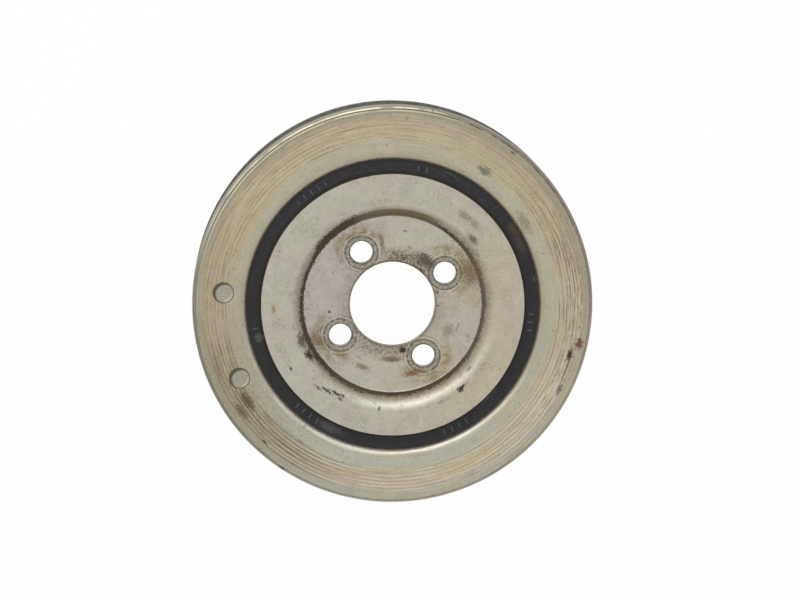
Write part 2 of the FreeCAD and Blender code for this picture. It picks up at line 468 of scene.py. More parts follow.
class Coat:
    """A surface while its layers are laid on: its colour, and how far dirt dulls it."""

    def __init__(self, bench: PolarBench, base: Signal) -> None:
        """Starts with one clean colour.

        Args:
            bench: The material's bench.
            base: The clean surface.
        """
        self.bench = bench
        self.base = base
        self.dirt: Any = 0.0
        self.ragged = bench.noise(0.9, 5.0, 0.75)
        fine = bench.noise(2.2, 3.0, 0.75)
        self.fray = (self.ragged - 0.5) * 3.6 + (fine - 0.5) * 2.8
        self.mottle = bench.grey(1.0 + (fine - 0.5) * 1.7)

    def worn(self, low: float, high: float) -> Signal:
        """Rises from 0 to 1 where the surface's ragged noise passes from low to high."""
        return self.bench.smooth(self.ragged, low, high)

    def threads(self) -> Signal:
        """Thin threads of grime that curl over the surface: 1 on a thread, 0 beside it."""
        curl = self.bench.math("ABSOLUTE", self.bench.noise(0.42, 4.0, 0.6) - 0.5)
        return self.bench.smooth(curl, 0.02, 0.006) * self.worn(0.44, 0.54)

    def lay(self, mask: Signal, tint: Any, dulls: float = 0.0) -> None:
        """Lays a colour over what is there.

        Args:
            mask: Where it covers, 0 to 1.
            tint: Its colour.
            dulls: How far it takes the shine away, 0 to 1.
        """
        self.base = self.bench.mix(mask, self.base, tint)
        if dulls:
            self.dirt = self.bench.math("MAXIMUM", self.dirt, mask * dulls, clamp=True)

    def stain(self, stains: Iterable[Stain]) -> None:
        """Lays on single marks, which are dull.

        Args:
            stains: The marks, the lowest first.
        """
        bench = self.bench
        cover: Any = 0.0
        for mark in stains:
            patch = bench.patch(mark.angle, mark.radius, mark.half, self.fray, mark.soft)
            mask = patch * mark.strength
            self.lay(mask, bench.shade(mark.tint, self.mottle))
            cover = bench.math("MAXIMUM", cover, mask)
        self.dirt = bench.math("MAXIMUM", self.dirt, cover * 0.9, clamp=True)


@dataclass(frozen=True)
class PlatedSteel:
    """Yellow-plated steel, dulled by use: what the finishes of hub and belt ring share."""

    name: str
    straw: Colour
    pink: Colour
    green: Colour
    grime: Colour
    stains: tuple[Stain, ...]
    metallic: float = 0.85
    roughness: float = 0.42

    def begin(self) -> tuple[bpy.types.Material, PolarBench]:
        """Makes the empty material and its bench."""
        material = bpy.data.materials.new(self.name)
        return material, PolarBench(empty_tree(material))

    def finish(self, material: bpy.types.Material, coat: Coat, height: Signal) -> bpy.types.Material:
        """Joins colour, dirt and relief in the shader.

        Args:
            material: The material.
            coat: The painted surface.
            height: Relief in thousandths of a millimetre.

        Returns:
            The finished material.
        """
        bench = coat.bench
        wear = bench.noise(0.5, 4.0, 0.65)
        bench.surface({
            "Base Color": coat.base,
            "Metallic": (1.0 - coat.dirt * 0.8) * self.metallic,
            "Roughness": self.roughness + (wear - 0.5) * 0.3 + coat.dirt * 0.25,
            "Normal": bench.bump(height)})
        return material


@dataclass(frozen=True)
class RingSteel(PlatedSteel):
    """The belt ring's finish: films of plating in turned bands, dark lines, painted highlights, and a rim
    painted dark as shade.

    A zone is a pair of radii between which its tone grows from nothing to full, and side_depth is such
    a pair of depths below the face. The zone of the lines is a radius, a half width and a soft edge.
    """

    face_height: float = 26.5
    lip_radius: float = 73.9
    first_line: float = 70.9
    line_zone: tuple[float, float, float] = (66.7, 4.9, 1.0)
    straw_zone: Pair = (57.4, 64.6)
    pink_zone: Pair = (64.5, 68.5)
    blue_zone: Pair = (65.5, 60.5)
    band_zone: Pair = (70.8, 71.5)
    pale_zone: Pair = (67.0, 71.0)
    corner_zone: Pair = (57.9, 56.6)
    corner_highlight_zone: Pair = (57.7, 56.4)
    side_zone: Pair = (69.0, 69.4)
    side_depth: Pair = (2.0, 9.0)
    line_pitch: float = LINE_PITCH
    drill_radius: float = DRILL_RADIUS
    drill_angles: Pair = DRILL_ANGLES
    drill_dia: float = DRILL_DIA
    band: Colour = colour(170, 164, 142)
    pale: Colour = colour(178, 179, 167)
    blue: Colour = colour(186, 190, 184)
    corner: Colour = colour(176, 166, 146)
    corner_highlight_tone: Colour = colour(238, 235, 222)
    # Painted shade: the side wall's dark greys stand for the dark surroundings that it reflects.
    rim: Colour = colour(76, 75, 71)
    rim_light: Colour = colour(108, 106, 99)

    def face(self, bench: PolarBench) -> Signal:
        """Colour of the clean face: zones along the radius, crossed by films that run round the axis.

        Args:
            bench: The material's bench.

        Returns:
            The colour.
        """
        broad = bench.streaks(0.3, 1.6, 3.1, 2.0, 0.5)
        thin = bench.streaks(0.9, 2.6, 11.7)
        line = bench.radius + (broad - 0.5) * 7.0
        tone = bench.mix(bench.smooth(line, *self.straw_zone), self.green, self.straw)
        tone = bench.mix(bench.smooth(line, *self.pink_zone) * 0.45, tone, self.pink)
        cool = bench.radial(*self.blue_zone) * bench.sector(258, 54, 34)
        tone = bench.mix(cool * 0.4, tone, self.blue)
        tone = bench.mix(bench.radial(*self.band_zone), tone, self.band)
        pale = bench.radial(*self.pale_zone) * bench.sector(285, 52, 26)
        tone = bench.mix(pale * 0.55, tone, self.pale)
        tone = bench.mix(bench.radial(*self.corner_zone) * 0.8, tone, self.corner)
        # Painted highlight along the rounded inner corner at the bottom, where it faces the lamp.
        painted_highlight = bench.radial(*self.corner_highlight_zone) * bench.sector(265, 60, 30)
        tone = bench.mix(painted_highlight * 0.62, tone, self.corner_highlight_tone)
        tone = bench.mix(bench.smooth(broad, 0.52, 0.66) * 0.4, tone, self.pink)
        tone = bench.mix(bench.smooth(broad, 0.46, 0.34) * 0.35, tone, self.green)
        tone = bench.mix(bench.smooth(thin, 0.52, 0.64) * 0.6, tone, self.straw)
        streaks = bench.streaks(2.4, 5.0, 21.3, 3.0, 0.65)
        cloud = bench.noise(0.22, 3.0, 0.6)
        grain = bench.noise(1.3, 4.0, 0.7)
        value = 1.02 + (streaks - 0.5) * 0.4 + (cloud - 0.5) * 0.22 + (grain - 0.5) * 0.55
        lines = bench.ring(65.8, 3.6, 1.6)
        value = value + bench.sector(112, 34, 20) * lines * 0.08
        value = value + bench.sector(315, 42, 24) * lines * 0.07
        value = value - bench.sector(35, 50, 20) * bench.radial(69.2, 72.8) * 0.1
        value = value + bench.sector(290, 34, 24) * bench.ring(68.5, 2.4, 1.0) * 0.07
        return bench.shade(tone, bench.grey(value - bench.sector(198, 22, 20) * 0.06))

    def line_film(self, coat: Coat) -> None:
        """Lays dark film in the turned lines, thick at the lower left, bright arcs at the right, and
        painted highlights beside them.

        Args:
            coat: The surface.
        """
        bench = coat.bench
        zone = bench.ring(*self.line_zone)
        heavy = bench.sector(221, 22, 14)
        strength = 0.3 + heavy * 0.52 + bench.sector(10, 26, 14) * 0.4 + bench.sector(136, 40, 20) * 0.2
        broken = bench.streaks(0.7, 3.0, 5.3)
        lines = bench.tool_marks(self.first_line, self.line_pitch, broken + heavy * 0.12, 0.42)
        coat.lay(lines * zone * strength * 0.7, self.grime, 0.5)
        between = bench.streaks(1.1, 2.6, 41.0)
        thick = between + heavy * 0.06
        fine = bench.tool_marks(self.first_line + 0.4, self.line_pitch * 0.63, thick, 0.47)
        coat.lay(fine * zone * strength * 0.6, self.grime, 0.4)
        arcs = bench.streaks(2.9, 4.4, 31.9, 4.0, 0.75)
        coat.lay(bench.smooth(arcs, 0.55, 0.62) * zone * strength, self.grime, 0.4)
        bright = 0.2 + bench.sector(310, 50, 25) * 0.4
        coat.lay(bench.smooth(arcs, 0.42, 0.35) * zone * bright, colour(220, 214, 198))
        # Painted highlight on the side of each turned line that faces the lamp, at the bottom; shine
        # carries it.
        shine = bench.tool_marks(self.first_line + 0.75, self.line_pitch, between, 0.44)
        coat.lay(shine * zone * bench.sector(290, 46, 20) * 0.6, colour(226, 223, 210))
        chips = bench.streaks(3.3, 14.0, 77.0, 4.0, 0.8)
        right = bench.sector(346, 24, 16) * bench.ring(68.8, 2.8, 1.0)
        coat.lay(bench.smooth(chips, 0.54, 0.6) * right * 0.75, colour(226, 222, 212))
        coat.lay(bench.smooth(chips, 0.43, 0.38) * right * 0.8, colour(84, 74, 66), 0.5)

    def rim_marks_and_painted_light(self, coat: Coat) -> None:
        """Darkens the rounded lip a little and the side wall below it much more, as painted shade, and
        paints highlights on the lip.

        Args:
            coat: The surface.
        """
        bench = coat.bench
        # Painted shade on the rounded lip, heaviest at the left and the upper right.
        lip = bench.radial(self.lip_radius, self.lip_radius + 0.7)
        shaded = 0.35 + bench.sector(195, 36, 16) * 0.4 + bench.sector(40, 40, 20) * 0.3
        coat.lay(lip * shaded, colour(106, 102, 92))
        # A dark line along the lip's shoulder all round, made darker on the lamp side as painted shade
        # beside the painted highlights.
        edge = bench.ring(self.lip_radius, 0.12, 0.12)
        glint = bench.sector(117, 40, 14)
        coat.lay(edge * (0.45 + glint * 0.3), self.grime, 0.4)
        dashes = bench.smooth(bench.streaks(0.6, 12.0, 87.0, 3.0, 0.7), 0.5, 0.58)
        shoulder = bench.ring(self.lip_radius, 0.25, 0.2) * bench.sector(46, 30, 12)
        coat.lay(shoulder * dashes * 0.75, colour(66, 58, 46), 0.5)
        # Painted highlights: two bright lines on the lip at the upper left, facing the lamp; worn here only
        # breaks them into pieces.
        worn = bench.smooth(bench.streaks(0.5, 6.0, 61.0), 0.3, 0.52)
        coat.lay(bench.ring(74.5, 0.18, 0.2) * glint * worn, colour(246, 240, 214))
        coat.lay(bench.ring(73.35, 0.14, 0.2) * glint * worn * 0.85, colour(236, 228, 200))
        # Painted shade: a dark line beside the painted highlights, on the lamp side only.
        coat.lay(bench.ring(72.6, 0.14, 0.15) * glint * 0.4, self.grime, 0.4)
        # Painted shade on the side wall below the lip: grey steel made dark for the dark surroundings it
        # reflects.
        below = self.face_height - bench.z
        mottle = bench.mix(bench.smooth(bench.noise(0.5, 3.0, 0.6), 0.35, 0.65), self.rim, self.rim_light)
        side = bench.radial(*self.side_zone) * bench.smooth(below, *self.side_depth)
        coat.lay(side * 0.94, mottle, 0.7)

    def drilled(self, coat: Coat) -> Signal:
        """Marks the drillings: a dark outline, a floor with the fine rings of the drill's lips, a painted
        shadow and a painted highlight.

        Args:
            coat: The surface, on which the marks are laid.

        Returns:
            The rings' relief in thousandths of a millimetre.
        """
        bench = coat.bench
        nearest: Any = FAR
        upper: Any = FAR
        lower: Any = FAR
        for angle in self.drill_angles:
            turn = math.radians(angle)
            x = self.drill_radius * math.cos(turn)
            y = self.drill_radius * math.sin(turn)
            nearest = bench.math("MINIMUM", bench.away_from(x, y), nearest)
            # upper: distance from a point moved towards the lower right; it places the painted shadow and
            # highlight.
            upper = bench.math("MINIMUM", bench.away_from(x + 0.75, y - 0.6), upper)
            lower = bench.math("MINIMUM", bench.away_from(x + 0.4, y - 0.3), lower)
        half = self.drill_dia / 2
        floor = bench.smooth(nearest, half, half - 0.3)
        coat.lay(floor * 0.8, bench.shade(colour(176, 173, 158), coat.mottle))
        rings = bench.smooth(bench.math("SINE", lower * 7.0), 0.1, 0.9)
        coat.lay(rings * floor * 0.3, colour(132, 124, 102), 0.2)
        # Painted highlight inside each drilling at the lower right, on its floor and on its rings.
        painted_highlight = bench.smooth(nearest * 2.0 - upper, half - 0.1, half + 0.8)
        coat.lay(painted_highlight * floor * 0.45, colour(226, 222, 206))
        coat.lay(painted_highlight * rings * floor * 0.6, colour(244, 242, 234))
        # Painted shadow of the drilling's wall at the upper left.
        coat.lay(bench.smooth(upper, half - 0.7, half + 0.1) * floor * 0.9, colour(82, 72, 54), 0.6)
        coat.lay(bench.band(nearest, half - 0.05, 0.2, 0.2) * 0.7, self.grime, 0.5)
        return rings * floor * 5.0

    def make(self) -> bpy.types.Material:
        """Builds the material.

        Returns:
            The material.
        """
        material, bench = self.begin()
        coat = Coat(bench, self.face(bench))
        dull = bench.sector(212, 16, 16) * coat.worn(0.36, 0.6)
        coat.lay(dull * 0.35, colour(140, 130, 110), 0.3)
        self.line_film(coat)
        coat.lay(bench.specks(0.8, 0.24, 0.1, coat.fray) * 0.7, self.grime, 0.6)
        rings = self.drilled(coat)
        self.rim_marks_and_painted_light(coat)
        coat.stain(self.stains)
        turning = bench.streaks(5.0, 3.0, 7.7, 2.0)
        grain = bench.noise(3.2, 3.0, 0.6)
        return self.finish(material, coat, (turning - 0.5) * 12.0 + (grain - 0.5) * 16.0 + rings)


@dataclass(frozen=True)
class HubSteel(PlatedSteel):
    """The hub's finish: greyer plating, grime and painted shade in the dish corner, painted highlights,
    marks round the bolt holes.

    Each place in the marks of a bolt is a distance from the middle of its hole.
    """

    mauve: Colour = colour(182, 174, 170)
    ochre: Colour = colour(146, 132, 96)
    olive: Colour = colour(104, 92, 62)
    seat: Colour = colour(152, 147, 134)
    core: Colour = colour(57, 44, 30)
    bolt_radius: float = BOLT_RADIUS
    bolt_angle: float = BOLT_ANGLE
    hole_edge: float = 4.5
    seat_middle: float = 5.2
    head_edge: float = 6.2
    head_glint: float = 7.0
    washer_edge: float = 7.5
    halo_middle: float = 8.0
    bore_radius: float = BORE_RADIUS
    corner_start: float = 33.35
    corner_end: float = 36.4
    bend_middle: float = 37.9

    def plate(self, bench: PolarBench) -> Signal:
        """Colour of the clean plate, which drifts between a warm, a green and a mauve tone, with painted
        highlights on the bend.

        Args:
            bench: The material's bench.

        Returns:
            The colour.
        """
        tone = bench.mix(bench.sector(345, 50, 35) * 0.65, self.green, self.straw)
        drift = bench.noise(0.07, 3.0, 0.5)
        tone = bench.mix(bench.smooth(drift, 0.42, 0.6) * 0.6, tone, self.pink)
        on_floor = bench.radial(37.5, 34.5)
        tone = bench.mix(on_floor * bench.sector(170, 50, 30) * 0.7, tone, self.mauve)
        tone = bench.mix(on_floor * bench.sector(350, 25, 20) * 0.5, tone, self.mauve)
        # Painted highlight on the dish's bend at the top, which makes it paler.
        bend = bench.ring(self.bend_middle, 0.8, 0.5) * bench.sector(95, 60, 25)
        tone = bench.mix(bend * 0.35, tone, colour(208, 196, 182))
        # Painted highlight on the dish's bend at the bottom, where it faces the lamp.
        painted_highlight = bench.ring(self.bend_middle + 0.5, 1.3, 0.9) * bench.sector(290, 42, 26)
        tone = bench.mix(painted_highlight * 0.42, tone, colour(230, 226, 212))
        cloud = bench.noise(0.28, 4.0, 0.65)
        grain = bench.noise(1.1, 5.0, 0.75)
        value = 1.04 + (cloud - 0.5) * 0.42 + (grain - 0.5) * 0.6
        return bench.shade(tone, bench.grey(value))

    def bolt_distance(self, bench: PolarBench) -> Signal:
        """Distance from the nearest of the four bolt holes, in millimetres.

        Args:
            bench: The material's bench.

        Returns:
            The distance.
        """
        turn = math.radians(self.bolt_angle)
        u = bench.math("ABSOLUTE", bench.x * math.cos(turn) + bench.y * math.sin(turn))
        v = bench.math("ABSOLUTE", bench.y * math.cos(turn) - bench.x * math.sin(turn))
        far = bench.math("MAXIMUM", u, v) - self.bolt_radius
        near = bench.math("MINIMUM", u, v)
        return bench.math("SQRT", far * far + near * near)

    def bolt_marks(self, coat: Coat) -> Signal:
        """Lays on what the bolt heads left: a rough seat, broken dark rings and a stained halo.

        Args:
            coat: The surface, dirtied by the marks.

        Returns:
            Where the rough seats are.
        """
        bench = coat.bench
        distance = self.bolt_distance(bench)
        smear = bench.noise(0.3, 4.0, 0.65)
        outward = bench.radial(22.5, 27.5) * bench.radial(34.2, 33.0)
        halo = bench.band(distance, self.halo_middle, 2.4, 2.0) * outward
        coat.lay(halo * bench.smooth(smear, 0.34, 0.62) * 0.9, self.ochre, 0.3)
        coat.lay(halo * coat.worn(0.54, 0.62) * 0.6, colour(112, 92, 64), 0.6)
        seat = bench.band(distance, self.seat_middle, 1.0, 0.3)
        coat.lay(seat * coat.worn(0.25, 0.5) * 0.75, self.seat, 0.2)
        coat.lay(seat * coat.worn(0.44, 0.66) * 0.6, colour(98, 88, 72), 0.5)
        wander = distance + (smear - 0.5) * 0.7
        for away, middle, half, soft, gaps, low, strength, tint, dulls in (
                (wander, self.head_edge, 0.24, 0.24, coat.ragged, 0.38, 0.9, colour(72, 62, 52), 0.6),
                (wander, self.washer_edge, 0.16, 0.2, smear, 0.42, 0.55, colour(112, 90, 60), 0.4),
                (wander, self.head_glint, 0.16, 0.18, smear, 0.42, 0.3, colour(206, 198, 172), 0.0),
                (distance, self.hole_edge, 0.22, 0.2, coat.ragged, 0.38, 0.75, colour(84, 76, 68), 0.4)):
            ring = bench.band(away, middle, half, soft) * bench.smooth(gaps, low, 0.52)
            coat.lay(ring * strength, tint, dulls)
        return seat

    def corner_grime_and_shade(self, coat: Coat, threads: Signal) -> None:
        """Fills the dish corner: soft olive at the top as painted shade over thin grime, ragged brown
        elsewhere, with specks beside it.

        Args:
            coat: The surface.
            threads: Where threads of grime may lie.
        """
        bench = coat.bench
        soft_top = bench.sector(86, 23, 9)
        lower = bench.sector(262, 58, 14)
        rough = bench.sector(168, 54, 16) + bench.sector(20, 28, 12)
        inward = bench.radius + coat.fray * (0.08 + rough * 0.42)
        inner = bench.smooth(inward, self.corner_start - 0.1, self.corner_start + 0.3)
        frayed = bench.radius + coat.fray * (0.95 - soft_top * 0.6)
        tail = inner * bench.smooth(frayed, self.corner_end + 1.2, self.corner_start + 1.0)
        coat.lay(tail * (0.55 + lower * 0.4), colour(108, 90, 64), 0.6)
        # Painted shade over thin grime: a soft olive band at the top of the corner's wall, which faces away
        # from the lamp.
        top = inner * bench.radial(self.corner_end + 0.15, self.corner_end - 0.6)
        coat.lay(top * soft_top * 0.85, bench.shade(self.olive, coat.mottle), 0.7)
        width = 1.4 + bench.sector(222, 34, 16) * 0.6 + bench.sector(126, 18, 8) * 1.7
        width = width + bench.sector(18, 20, 12) * 0.4 + bench.sector(320, 24, 12) * 0.3
        outward = frayed - self.corner_start
        core = inner * bench.smooth(outward - width, 0.35, -0.35)
        worn = soft_top * 0.6 + bench.sector(345, 52, 20) * 0.22 + bench.sector(245, 14, 10) * 0.25
        coat.lay(core * (0.97 - worn), bench.shade(self.core, coat.mottle), 1.0)
        near = bench.ring(self.corner_start + 1.2, 2.6, 1.6) * rough
        coat.lay(near * threads * 0.8, self.grime, 0.8)
        beside = bench.ring(self.corner_end + 0.6, 1.8, 1.4)
        blots = bench.smooth(coat.fray, 0.42, 0.62) * (0.15 + lower * 0.7 + bench.sector(30, 20, 12) * 0.6)
        coat.lay(beside * blots, self.grime, 0.8)

    def centre_grime(self, coat: Coat) -> None:
        """Darkens the floor towards the bore, and darkens the bore's edge all round, most at the top.

        Args:
            coat: The surface.
        """
        bench = coat.bench
        near = bench.radial(23.5, 16.5)
        light = bench.sector(18, 24, 14) + bench.sector(312, 22, 14)
        film = near * coat.worn(0.3, 0.62) * (0.5 - light * 0.3)
        coat.lay(film, colour(126, 114, 98), 0.3)
        heavy = bench.sector(68, 26, 12) + bench.sector(264, 28, 12) * 0.5
        ashen = bench.radial(22.5, 18.5)
        coat.lay(ashen * coat.worn(0.36, 0.6) * heavy, colour(104, 90, 68), 0.6)
        coat.lay(ashen * coat.worn(0.56, 0.64) * heavy, colour(64, 50, 38), 0.8)
        edge = bench.radial(self.bore_radius + 1.0, self.bore_radius + 0.4)
        coat.lay(edge * (0.45 + bench.sector(85, 60, 30) * 0.4), colour(88, 76, 58), 0.6)

    def make(self) -> bpy.types.Material:
        """Builds the material.

        Returns:
            The material.
        """
        material, bench = self.begin()
        coat = Coat(bench, self.plate(bench))
        threads = coat.threads()
        for angle in (74.0, 12.0, 138.0):
            coat.lay(bench.scratches(angle, 1.6, 0.66) * 0.3, colour(204, 198, 184))
        coat.lay(bench.scratches(101.0, 1.3, 0.68) * 0.3, colour(128, 120, 106), 0.2)
        smudged = bench.smooth(bench.noise(0.11, 3.0, 0.6), 0.52, 0.62)
        coat.lay(smudged * threads * 0.45, colour(112, 98, 80), 0.4)
        coat.lay(smudged * coat.worn(0.48, 0.6) * 0.16, colour(120, 106, 88), 0.3)
        coat.lay(bench.specks(0.6, 0.18, 0.12, coat.fray) * 0.5, self.grime, 0.5)
        self.centre_grime(coat)
        seat = self.bolt_marks(coat)
        self.corner_grime_and_shade(coat, threads)
        coat.stain(self.stains)
        rough_seat = seat * (bench.noise(1.2, 3.0, 0.6) - 0.5) * 60.0
        waves = bench.noise(0.3, 2.0, 0.5)
        grain = bench.noise(2.4, 4.0, 0.65)
        return self.finish(material, coat, (waves - 0.5) * 60.0 + (grain - 0.5) * 26.0 + rough_seat)


@dataclass(frozen=True)
class DamperRubber:
    """Black moulded rubber: dust at its edges, painted sheen and shade, scuffs and a fine grain."""

    name: str
    tone: Colour
    # The colour of the dust streaks, which also carries the painted sheen on them at the top.
    dust: Colour
    stains: tuple[Stain, ...]
    mark_height: float = 23.98
    mark_middle: float = 52.2
    inner: float = 49.7
    middle: float = 52.4
    outer: float = 54.8

    def make(self) -> bpy.types.Material:
        """Builds the material.

        Returns:
            The material.
        """
        material = bpy.data.materials.new(self.name)
        bench = PolarBench(empty_tree(material))
        cloud = bench.noise(0.25, 3.0, 0.6)
        streaks = bench.streaks(1.6, 16.0, 3.0, 4.0, 0.7)
        # Dust streaks round the middle, made stronger at the top as a painted sheen.
        middle = bench.ring(self.middle, 1.6, 0.9)
        sheen = 0.25 + bench.sector(95, 60, 30) * 0.35
        dust_and_sheen = middle * bench.smooth(streaks, 0.35, 0.65) * sheen
        coat = Coat(bench, bench.mix(dust_and_sheen, self.tone, self.dust))
        # Painted shade: a dark band along the hub's edge, where the rubber meets it.
        rim = bench.radial(self.inner + 1.5, self.inner)
        coat.lay(rim * 0.85, colour(22, 18, 16))
        edges = bench.radial(self.inner + 0.6, self.inner) * 0.4
        edges = edges + bench.radial(self.outer - 0.7, self.outer)
        coat.lay(edges * coat.worn(0.42, 0.6) * 0.35, colour(96, 80, 60), 0.5)
        coat.lay(bench.smooth(coat.fray, 0.3, 0.8) * 0.3, colour(78, 74, 74), 0.2)
        raised = bench.smooth(bench.z, self.mark_height, self.mark_height + 0.1)
        coat.lay(raised * bench.ring(self.mark_middle, 1.4, 0.1) * 0.55, colour(98, 96, 102), 0.3)
        coat.stain(self.stains)
        grain = bench.noise(1.6, 4.0, 0.7)
        height = (grain - 0.5) * 150.0 + (cloud - 0.5) * 200.0
        bench.surface({
            "Base Color": coat.base,
            "Roughness": 0.5 + (cloud - 0.5) * 0.3 + coat.dirt * 0.2,
            "Specular IOR Level": 0.35,
            "Normal": bench.bump(height)})
        return material


@dataclass(frozen=True)
class Corner:
    """A corner of a turned outline: distance from the axis, height and rounding, in millimetres."""

    r: float
    z: float
    rounding: float = 0.0


def rounded_outline(corners: Sequence[Corner], step: float = 18.0, guard: float = 0.05) -> list[Point]:
    """Rounds the corners of a closed outline.

    Args:
        corners: The outline, counterclockwise with the axis on its left.
        step: Largest turn between two points of a rounding, in degrees.
        guard: Distance of the point kept on the straight beside each rounding, so that flats stay flat.

    Returns:
        The points (radius, height) of the closed outline.
    """
    points: list[Point] = []
    for index, corner in enumerate(corners):
        here = Vector((corner.r, corner.z))
        before = corners[index - 1]
        after = corners[(index + 1) % len(corners)]
        back = (Vector((before.r, before.z)) - here).normalized()
        ahead = (Vector((after.r, after.z)) - here).normalized()
        opening = back.angle(ahead)
        if corner.rounding == 0.0:
            points.append((corner.r, corner.z))
            continue
        reach = corner.rounding / math.tan(opening / 2)
        centre = here + (back + ahead).normalized() * (corner.rounding / math.sin(opening / 2))
        first = here + back * reach - centre
        turn = first.angle_signed(here + ahead * reach - centre)
        count = max(2, math.ceil(abs(math.degrees(turn)) / step))
        points.append(tuple(here + back * (reach + guard)))
        for part in range(count + 1):
            angle = -turn * part / count
            arm = Vector((first.x * math.cos(angle) - first.y * math.sin(angle),
                          first.x * math.sin(angle) + first.y * math.cos(angle)))
            points.append(tuple(centre + arm))
        points.append(tuple(here + ahead * (reach + guard)))
    return points


class Shading(Enum):
    """How a turned piece is shaded."""

    CRISP = 32.0
    SOFT = 60.0


class GeometryTree:
    """A geometry node tree with named inputs."""

    def __init__(self, name: str, inputs: dict[str, str]) -> None:
        """Starts the tree.

        Args:
            name: The tree's name.
            inputs: Socket type of each input by name, after the geometry itself.
        """
        self.tree = bpy.data.node_groups.new(name, "GeometryNodeTree")
        self.bench = NodeBench(self.tree)
        sockets = self.tree.interface
        sockets.new_socket(name="Geometry", in_out="INPUT", socket_type="NodeSocketGeometry")
        for label, kind in inputs.items():
            sockets.new_socket(name=label, in_out="INPUT", socket_type=kind)
        sockets.new_socket(name="Geometry", in_out="OUTPUT", socket_type="NodeSocketGeometry")
        self.source = self.bench.node("NodeGroupInput")

    def value(self, name: str) -> Signal:
        """One of the tree's inputs."""
        return self.bench.signal(self.source, name)

    def close(self, geometry: Any) -> None:
        """Ends the tree in realised instances and the material.

        Args:
            geometry: The finished geometry.
        """
        real = self.bench.node("GeometryNodeRealizeInstances", sockets={0: geometry})
        dressed = self.bench.node("GeometryNodeSetMaterial", sockets={
            "Geometry": real.outputs[0], "Material": self.value("Material")})
        self.bench.node("NodeGroupOutput", sockets={0: dressed.outputs[0]})

    def apply(self, piece: bpy.types.Object, values: dict[str, Any]) -> None:
        """Runs the tree on an object and keeps the result as its plain mesh.

        Args:
            piece: The object.
            values: The tree's inputs by name.
        """
        modifier = piece.modifiers.new(self.tree.name, "NODES")
        modifier.node_group = self.tree
        for item in self.tree.interface.items_tree:
            if item.item_type == "SOCKET" and item.in_out == "INPUT" and item.name in values:
                modifier[item.identifier] = values[item.name]
        graph = bpy.context.evaluated_depsgraph_get()
        mesh = bpy.data.meshes.new_from_object(piece.evaluated_get(graph))
        piece.modifiers.remove(modifier)
        old = piece.data
        piece.data = mesh
        mesh.name = piece.name
        bpy.data.meshes.remove(old)


AROUND_AXIS = {
    "Count": "NodeSocketInt", "Circle Radius": "NodeSocketFloat", "First Angle": "NodeSocketFloat",
    "Step Angle": "NodeSocketFloat", "Material": "NodeSocketMaterial"}


